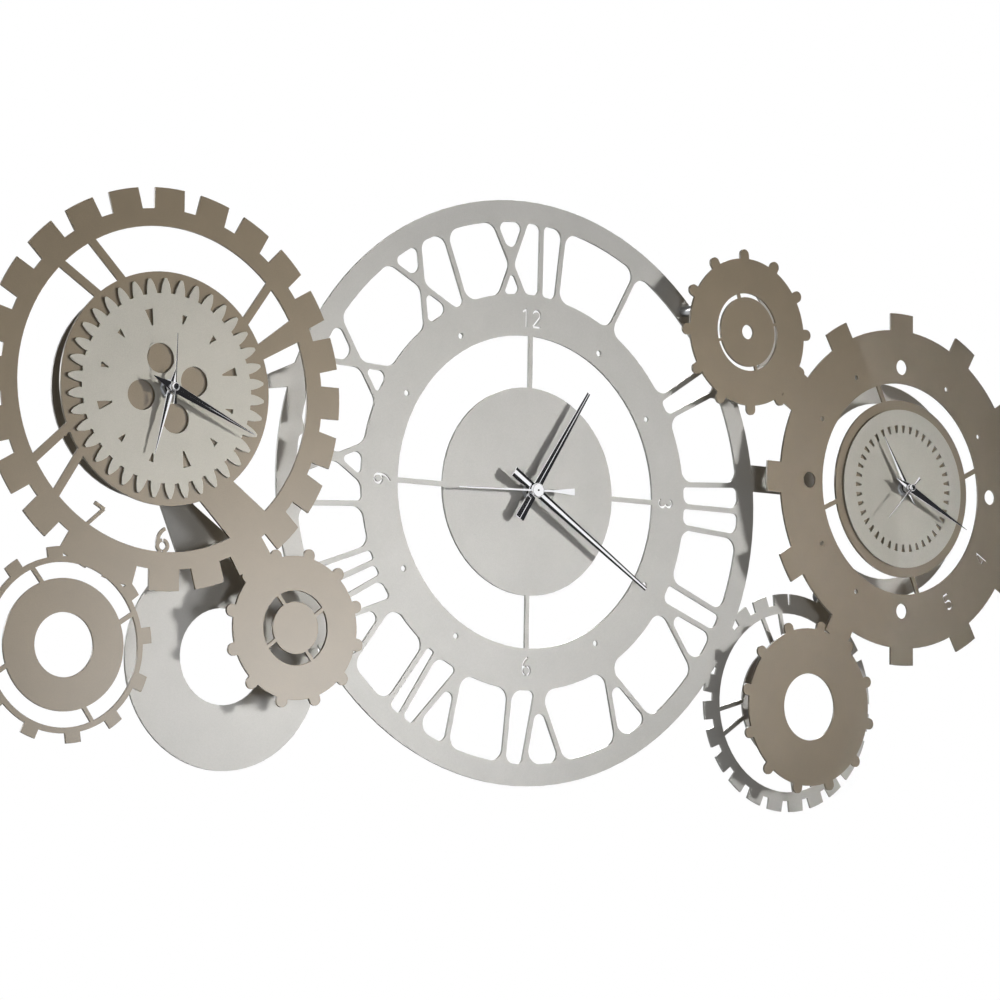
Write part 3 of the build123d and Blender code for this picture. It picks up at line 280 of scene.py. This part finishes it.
light_grey = powder_paint(
    "light grey powder coat", (0.455, 0.445, 0.42), sheen=0.28, Fleck=0.07, Cloud=0.03
)
taupe = powder_paint(
    "taupe pearl powder coat", (0.205, 0.162, 0.106), sheen=0.5, Fleck=0.13, Cloud=0.05
)
dial_grey = powder_paint(
    "dial grey powder coat", (0.44, 0.42, 0.365), sheen=0.28, Fleck=0.08, Cloud=0.03
)
chrome = grained(
    "polished chrome", (0.9, 0.9, 0.92), 1.0, Gloss=0.045, Tone=0.03, Gloss_Spread=0.03, Height=0.01
)
steel = grained("zinc plated steel", (0.55, 0.56, 0.58), 1.0, Gloss=0.3, Scale=900.0, Stretch=(1, 1, 6))
dark_steel = grained("blued steel", (0.05, 0.05, 0.055), 1.0, Gloss=0.25, Scale=900.0)
black_plastic = grained(
    "black moulded plastic", (0.022, 0.022, 0.024), 0.0, Gloss=0.5, Scale=1500.0, Height=0.25
)
white_plastic = grained("acetal plastic", (0.76, 0.74, 0.69), 0.0, Gloss=0.38, Scale=700.0, Tone=0.05)
board_brown = grained("board laminate", (0.2, 0.11, 0.04), 0.0, Gloss=0.45, Scale=800.0)
copper = grained(
    "copper winding", (0.6, 0.22, 0.09), 1.0, Gloss=0.32, Scale=500.0, Stretch=(8, 1, 1), Height=0.4
)


def clock_axis(name):
    """Place of a clock's hand axis across and up the wall."""
    joint = next(joint for joint in frame["joints"] if joint["name"] == name + "_minutes_turn")
    return joint["pos_m"][0], joint["pos_m"][2]


CELL_HALF_LENGTH = 26 * MM


def sleeve_paint():
    """Slate blue cell sleeves with a pale ring near the raised end and bare steel at both ends."""
    material, tree, finish = new_material(
        "cell sleeve", GRAIN, None, 0.15, Gloss=0.28, Scale=500.0, Tone=0.05
    )
    place = node(tree, "ShaderNodeTexCoord").outputs["Object"]
    across = node(tree, "ShaderNodeSeparateXYZ", Vector=place)
    offset = across.outputs["X"]
    for name, side in (("left", "LESS_THAN"), ("right", "GREATER_THAN")):
        axis = clock_axis(name)[0]
        here = maths(tree, side, across.outputs["X"], axis / 2)
        offset = maths(tree, "MULTIPLY_ADD", here, -axis, offset)
    share = spread(tree, offset, -CELL_HALF_LENGTH, CELL_HALF_LENGTH, 0.0, 1.0)
    ramp = node(tree, "ShaderNodeValToRGB", Fac=share)
    ramp.color_ramp.interpolation = "CONSTANT"
    sleeve, ring, can = (0.035, 0.075, 0.13, 1), (0.55, 0.53, 0.46, 1), (0.5, 0.5, 0.5, 1)
    bands = [(0.0, can), (0.05, sleeve), (0.72, ring), (0.79, sleeve), (0.9, can)]
    for place, colour in bands[2:]:
        ramp.color_ramp.elements.new(place).color = colour
    for element, (place, colour) in zip(ramp.color_ramp.elements, bands):
        element.position = place
        element.color = colour
    tree.links.new(ramp.outputs["Color"], finish.inputs["Colour"])
    return material


FINISHES = {
    "light_grey_paint": light_grey,
    "taupe_paint": taupe,
    "grey_paint": dial_grey,
    "chrome": chrome,
    "steel": steel,
    "black_plastic": black_plastic,
    "white_plastic": white_plastic,
    "board": board_brown,
    "copper_wire": copper,
    "battery_can": sleeve_paint(),
}
for entry in frame["record"]["subparts"]:
    part = nodes[entry["node"]]
    part.data.materials.clear()
    part.data.materials.append(FINISHES[entry["material_slot"]])


# Hands: polished blades with bevelled sides, two facets and a flat ridge, each on a turned hub or under
# a cap. Their sizes are in millimetres until each hand is set in its place.

EDGE_LOW = 0.12
EDGE_BEVEL = 0.35
EDGE_BEVEL_SHARE = 0.3
FACET_SLOPE = 0.12
RIDGE_HALF = 0.25
RIDGE_SHARE = 0.2
WIDE_RIDGE_SHARE = 0.36
NEEDLE_SLOPE = 0.02
HUB_HEIGHT = 1.2
HUB_BEVEL = 0.2
CAP_PIN = 0.75
CAP_PIN_HEIGHT = 0.5
CAP_BORE_DEPTH = 0.8
BORE_OVERRUN = 1.0
TURN_STEPS = 96
ARC_STEPS = 24
SMOOTH_BELOW = radians(4.5)
NEEDLE_WAIST = 0.42
MERGE_BELOW = 1e-4


def grid_faces(rows, columns, round_rows):
    """Quads between neighbouring rows of a grid whose columns close on themselves."""
    last = rows if round_rows else rows - 1
    row, column = np.meshgrid(np.arange(last), np.arange(columns), indexing="ij")
    ahead = (row + 1) % rows
    beside = (column + 1) % columns
    here, there = row * columns, ahead * columns
    quads = [here + column, here + beside, there + beside, there + column]
    return np.stack(quads, axis=-1).reshape(-1, 4).tolist()


def blade(stations, slope, wide=False):
    """Roof profile carried along the hand, with a narrow flat ridge or a wide one.

    At a station of half width h, with bevel b and ridge half width k, the profile runs through
    (h, 0), (h, low), (h - b, low + b), (k, low + b + slope (h - b - k)) and their mirror images.
    The bevel and the narrow ridge are never more than their shares of h. The first and last
    station keep only the low side, so both ends are bevelled.
    """
    along, half = np.array(stations).T
    bevel = np.minimum(EDGE_BEVEL, EDGE_BEVEL_SHARE * half)
    ridge = WIDE_RIDGE_SHARE * half if wide else np.minimum(RIDGE_HALF, RIDGE_SHARE * half)
    low = np.full_like(half, EDGE_LOW)
    shoulder = low + bevel
    top = shoulder + slope * (half - bevel - ridge)
    side = np.stack([half, half, half - bevel, ridge], axis=1)
    height = np.stack([0 * low, low, shoulder, top], axis=1)
    across = np.concatenate([side, -side[:, ::-1]], axis=1)
    height = np.concatenate([height, height[:, ::-1]], axis=1)
    along = np.repeat(along[:, None], across.shape[1], axis=1)
    inner_start, inner_end = along[0] + bevel[0], along[-1] - bevel[-1]
    along = np.concatenate([along[:1], inner_start[None], along[1:-1], inner_end[None], along[-1:]])
    across = np.concatenate([across[:1], across[:1], across[1:-1], across[-1:], across[-1:]])
    ends = np.minimum(height[[0, -1]], EDGE_LOW)
    height = np.concatenate([ends[:1], height[:1], height[1:-1], height[-1:], ends[1:]])
    rows, columns = along.shape
    faces = grid_faces(rows, columns, False)
    faces += [list(range(columns)), list(range((rows - 1) * columns, rows * columns))]
    return np.stack([along, across, height], axis=-1).reshape(-1, 3), faces


def turned(profile):
    """Closed profile of (radius r, height w) turned about the axis: (r cos t, r sin t, w)."""
    radius, height = np.array(profile).T
    turn = np.linspace(0, 2 * np.pi, TURN_STEPS, endpoint=False)[:, None]
    points = np.stack([radius * np.cos(turn), radius * np.sin(turn), height + 0 * turn], axis=-1)
    return points.reshape(-1, 3), grid_faces(TURN_STEPS, len(profile), True)


def rod(radius, low, high):
    """Plain rod between two heights."""
    return turned([(0, low), (radius, low), (radius, high), (0, high)])


def hub(radius):
    """Round hub with a bevelled top."""
    side_top = HUB_HEIGHT - HUB_BEVEL
    rim = [(radius, 0), (radius, side_top), (radius - HUB_BEVEL, HUB_HEIGHT)]
    return turned([(0, 0), *rim, (0, HUB_HEIGHT)])


def cap(radius, height, round_share):
    """Cap with its rim rounded over a share of its height, and the arbor's end above its middle.

    The rim's radius q is that share of the height w, and it runs through
    (r - q + q cos t, w - q + q sin t) for t from 0 to a quarter turn.
    """
    rim = round_share * height
    arc = np.linspace(0, np.pi / 2, ARC_STEPS)
    rim_radii = radius - rim + rim * np.cos(arc)
    rim_heights = height - rim + rim * np.sin(arc)
    rim_points = np.stack([rim_radii, rim_heights], axis=1)
    top = height + CAP_PIN_HEIGHT
    pin = [(CAP_PIN, height), (CAP_PIN, top - HUB_BEVEL), (CAP_PIN - HUB_BEVEL, top)]
    return turned([(0, 0), (radius, 0), *map(tuple, rim_points), *pin, (0, top)])


def solid(name, shape):
    """Mesh object with its seams and poles merged and its faces pointing outwards."""
    points, faces = shape
    mesh = bpy.data.meshes.new(name)
    mesh.from_pydata(points.tolist(), [], faces)
    shell = bmesh.new()
    shell.from_mesh(mesh)
    bmesh.ops.remove_doubles(shell, verts=shell.verts, dist=MERGE_BELOW)
    bmesh.ops.recalc_face_normals(shell, faces=shell.faces)
    shell.to_mesh(mesh)
    shell.free()
    made = bpy.data.objects.new(name, mesh)
    scene.collection.objects.link(made)
    return made


def joined(name, shapes):
    """Closed mesh of a body with a second shape added and a third cut out."""
    body, added, bore = [solid(f"{name}_{number}", shape) for number, shape in enumerate(shapes)]
    for operation, tool in (("UNION", added), ("DIFFERENCE", bore)):
        modifier = body.modifiers.new(operation, "BOOLEAN")
        modifier.operation = operation
        modifier.solver = "EXACT"
        modifier.object = tool
    view = bpy.context.evaluated_depsgraph_get()
    mesh = bpy.data.meshes.new_from_object(body.evaluated_get(view))
    for spent in (body, added, bore):
        bpy.data.objects.remove(spent)
    return mesh


def set_in_place(mesh, node_name, axis, angle):
    """Moves a hand's points to its place, with u along the hand, v across it and w out from its back."""
    turn = radians(angle)
    along = (sin(turn), 0, cos(turn))
    across = (-cos(turn), 0, sin(turn))
    out = (0, -1, 0)
    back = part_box(node_name)[1][1]
    points = np.empty(3 * len(mesh.vertices))
    mesh.vertices.foreach_get("co", points)
    origin = np.array([axis[0], back, axis[1]])
    places = origin + points.reshape(-1, 3) @ np.array([along, across, out]) * MM
    mesh.vertices.foreach_set("co", places.ravel())
    mesh.update()


def darken_pin(mesh, height):
    """Gives the arbor's end, which stands above the cap within its radius, the second material."""
    mesh.materials.append(dark_steel)
    for face in mesh.polygons:
        u, v, w = face.center
        if w > height + 0.01 * CAP_PIN_HEIGHT and np.hypot(u, v) < CAP_PIN:
            face.material_index = 1


# Every polished hand, for the lamp that is kept off them
HANDS = []


def add_hand(clock, kind, angle, shapes, cap_height=None):
    """One polished hand in the place of its CAD hand."""
    node_name = f"{clock}_{kind}_hand"
    mesh = joined(node_name, shapes)
    mesh.name = node_name + "_polished"
    mesh.materials.clear()
    mesh.materials.append(chrome)
    if cap_height is not None:
        darken_pin(mesh, cap_height)
    set_in_place(mesh, node_name, clock_axis(clock), angle)
    mesh.shade_smooth()
    mesh.set_sharp_from_angle(angle=SMOOTH_BELOW)
    hand = bpy.data.objects.new(mesh.name, mesh)
    scene.collection.objects.link(hand)
    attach(hand, f"{clock}_{kind}s")
    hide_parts(node_name)
    HANDS.append(hand)


def tapered(length, tail, tip_width, hub_width, tail_width):
    """Stations of an hour or minute hand: place along it and half width."""
    return [(-tail, tail_width / 2), (0, hub_width / 2), (length, tip_width / 2)]


def needle(length, tail, tip_width, hub_width, tail_width):
    """Stations of a second hand, with a waist between the hub and the counterweight."""
    ends = tapered(length, tail, tip_width, hub_width, tail_width)
    return [ends[0], (-NEEDLE_WAIST * tail, hub_width / 2), *ends[1:]]


# Length, tail, and widths of tip, hub and tail
LARGE = {
    "hour": (100.6, 28.1, 3.8, 8.0, 9.0),
    "minute": (137.0, 26.4, 3.6, 8.0, 9.0),
    "second": (77.0, 38.2, 1.0, 1.8, 6.0),
}
SMALL = {
    "hour": (52.0, 17.0, 0.5, 5.8, 0.5),
    "minute": (77.0, 18.0, 0.5, 7.5, 0.5),
    "second": (40.0, 13.0, 0.6, 1.2, 3.0),
}
HUB_RADII = {"hour": 4.2, "minute": 3.3}
BORE_RADII = {"hour": 2.6, "minute": 1.7, "second": 0.5}

# Radius, height and rounded share of the caps
LARGE_CAP = (6.0, 2.0, 0.45)
SMALL_CAP = (3.2, 1.3, 0.95)

# The hand whose ridge is wide
WIDE_RIDGED = ("centre", "minute")

# Clockwise angles in degrees of the hour, minute and second hand at rest
CLOCKS = [
    ("centre", LARGE, LARGE_CAP, (32.4, 123.0, 268.1)),
    ("left", SMALL, SMALL_CAP, (193.8, 113.0, 0.7)),
    ("right", SMALL, SMALL_CAP, (328.0, 115.3, 224.8)),
]
for clock, sizes, cap_sizes, angles in CLOCKS:
    for kind, angle in zip(("hour", "minute"), angles):
        body = blade(tapered(*sizes[kind]), FACET_SLOPE, wide=(clock, kind) == WIDE_RIDGED)
        bore = rod(BORE_RADII[kind], -BORE_OVERRUN, HUB_HEIGHT + BORE_OVERRUN)
        add_hand(clock, kind, angle, (body, hub(HUB_RADII[kind]), bore))
    body = blade(needle(*sizes["second"]), NEEDLE_SLOPE)
    bore = rod(BORE_RADII["second"], -BORE_OVERRUN, CAP_BORE_DEPTH)
    add_hand(clock, "second", angles[2], (body, cap(*cap_sizes), bore), cap_sizes[1])


# Studio. Dark cards leave a slanting white window open in front of the clock, which polished metal
# reflects: its distance, the half side and half length of its opening, and its shift sideways.

WINDOW_AWAY = Vector((0.584, -0.807, 0.08)).normalized()
WINDOW_UP = Vector((0.49, 0.43, 0.757)).normalized()
CARD_DISTANCE = 2.5
CARD_REACH = 1.9
WINDOW_SIDE = 0.46
WINDOW_END = 0.4
WINDOW_SHIFT = 0.06
LOW_CARD = Vector((-0.08, -0.5, -1.15))
HIGH_CARD = Vector((2.0, 1.0, 1.1))
FLOOR_REACH = 8.0
FLOOR_LEVEL = -1.6
FLOOR_GLOW = 0.75
WORLD_LEVEL = 0.02


def shown_white(tree):
    """One for the rays of the camera, of reflections and of see-through surfaces, else zero."""
    rays = tree.nodes.new("ShaderNodeLightPath").outputs
    either = maths(tree, "MAXIMUM", rays["Is Camera Ray"], rays["Is Glossy Ray"])
    return maths(tree, "MAXIMUM", either, rays["Is Transmission Ray"])


def set_world(level):
    """White behind everything, with a faint even light."""
    world = bpy.data.worlds.new("studio")
    scene.world = world
    world.use_nodes = True
    tree = world.node_tree
    tree.nodes.clear()
    even = node(tree, "ShaderNodeBackground", Color=(1, 1, 1, 1), Strength=level)
    white = node(tree, "ShaderNodeBackground", Color=(1, 1, 1, 1), Strength=1.0)
    mixed = node(tree, "ShaderNodeMixShader", Fac=shown_white(tree))
    tree.links.new(even.outputs[0], mixed.inputs[1])
    tree.links.new(white.outputs[0], mixed.inputs[2])
    out = tree.nodes.new("ShaderNodeOutputWorld")
    tree.links.new(mixed.outputs[0], out.inputs["Surface"])


def add_lamp(name, offset, size, power, aim=(0, 0, 0), fan=180):
    """Round soft lamp. Its offset and aim are from the middle of the big wheel, its fan in degrees."""
    data = bpy.data.lights.new(name, "AREA")
    data.shape = "DISK"
    data.size = size
    data.energy = power
    data.spread = radians(fan)
    lamp = bpy.data.objects.new(name, data)
    place = WHEEL + Vector(offset)
    turn = (WHEEL + Vector(aim) - place).to_track_quat("-Z", "Y").to_matrix().to_4x4()
    lamp.matrix_world = Matrix.Translation(place) @ turn
    scene.collection.objects.link(lamp)
    return lamp


def keep_off_hands(lamp):
    """Keeps a lamp's light off the polished hands, as a small screen in front of each would."""
    spared = bpy.data.collections.new(lamp.name + "_spares")
    for hand in HANDS:
        spared.objects.link(hand)
    lamp.light_linking.receiver_collection = spared
    for member in spared.collection_objects:
        member.light_linking.link_state = "EXCLUDE"


def add_plane(name, corners, material):
    """Flat stage piece through its corners."""
    mesh = bpy.data.meshes.new(name)
    mesh.from_pydata([tuple(corner) for corner in corners], [], [list(range(len(corners)))])
    mesh.materials.append(material)
    plane = bpy.data.objects.new(name, mesh)
    scene.collection.objects.link(plane)
    return plane


def add_card(name, middle, along, across, material):
    """Dark card seen only in polished metal, from its middle and its two half sides."""
    turns = ((-1, -1), (1, -1), (1, 1), (-1, 1))
    corners = [middle + along * first + across * second for first, second in turns]
    card = add_plane(name, corners, material)
    card.visible_camera = card.visible_diffuse = card.visible_shadow = card.visible_transmission = False


def add_dark_cards():
    """Four cards round the white window, one card below, and one behind at the upper right."""
    black = grained("dark card", (0.01, 0.01, 0.012), 0.0, Gloss=0.8)
    up = WINDOW_UP
    side = WINDOW_AWAY.cross(up).normalized()
    middle = WHEEL + WINDOW_AWAY * CARD_DISTANCE + side * WINDOW_SHIFT
    half_side = (CARD_REACH - WINDOW_SIDE) / 2
    half_end = (CARD_REACH - WINDOW_END) / 2
    for sign in (-1, 1):
        beside = middle + side * sign * (WINDOW_SIDE + half_side)
        add_card(f"dark_card_side_{sign + 1}", beside, up * CARD_REACH, side * half_side, black)
        beyond = middle + up * sign * (WINDOW_END + half_end)
        add_card(f"dark_card_end_{sign + 1}", beyond, up * half_end, side * WINDOW_SIDE, black)
    low, high = WHEEL + LOW_CARD, WHEEL + HIGH_CARD
    add_card("dark_card_low", low, Vector((0.7, 0, 0)), Vector((0, 0.5, 0)), black)
    add_card("dark_card_high", high, Vector((0.27, -0.54, 0)), Vector((-0.27, -0.13, 0.53)), black)


def add_floor():
    """Pale floor well below the clock, which keeps some of the shadow that falls on it."""
    reach, level = FLOOR_REACH, FLOOR_LEVEL
    corners = [
        (-reach, -reach, level), (reach, -reach, level), (reach, reach, level), (-reach, reach, level)
    ]
    material, tree, _ = new_material(
        "pale floor", GRAIN, (0.8, 0.8, 0.79), 0.0, Gloss=0.7, Scale=20.0, Tone=0.02
    )
    glow = node(tree, "ShaderNodeEmission", Color=(0.9, 0.9, 0.89, 1), Strength=1.0)
    mixed = node(tree, "ShaderNodeMixShader", Fac=maths(tree, "MULTIPLY", shown_white(tree), FLOOR_GLOW))
    tree.links.new(tree.nodes["Principled BSDF"].outputs[0], mixed.inputs[1])
    tree.links.new(glow.outputs[0], mixed.inputs[2])
    tree.links.new(mixed.outputs[0], tree.nodes["Material Output"].inputs["Surface"])
    add_plane("floor", corners, material)


set_world(WORLD_LEVEL)
key = add_lamp("key", (2.4, -2.25, 0.2), 0.34, 2.8, aim=(-0.25, 0, -0.04), fan=24)
key.visible_glossy = False
fill = add_lamp("fill", (-0.41, -2.0, -0.11), 0.4, 6.8)
fill.visible_glossy = False
sheen = add_lamp("sheen", (0.44, -1.12, -0.2), 0.55, 13.0)
sheen.visible_diffuse = False
keep_off_hands(sheen)
add_lamp("back_right", (1.1, 1.6, 0.7), 0.6, 22.0)
add_lamp("back_left", (-1.3, 1.5, 0.4), 0.6, 16.0)
add_dark_cards()
add_floor()
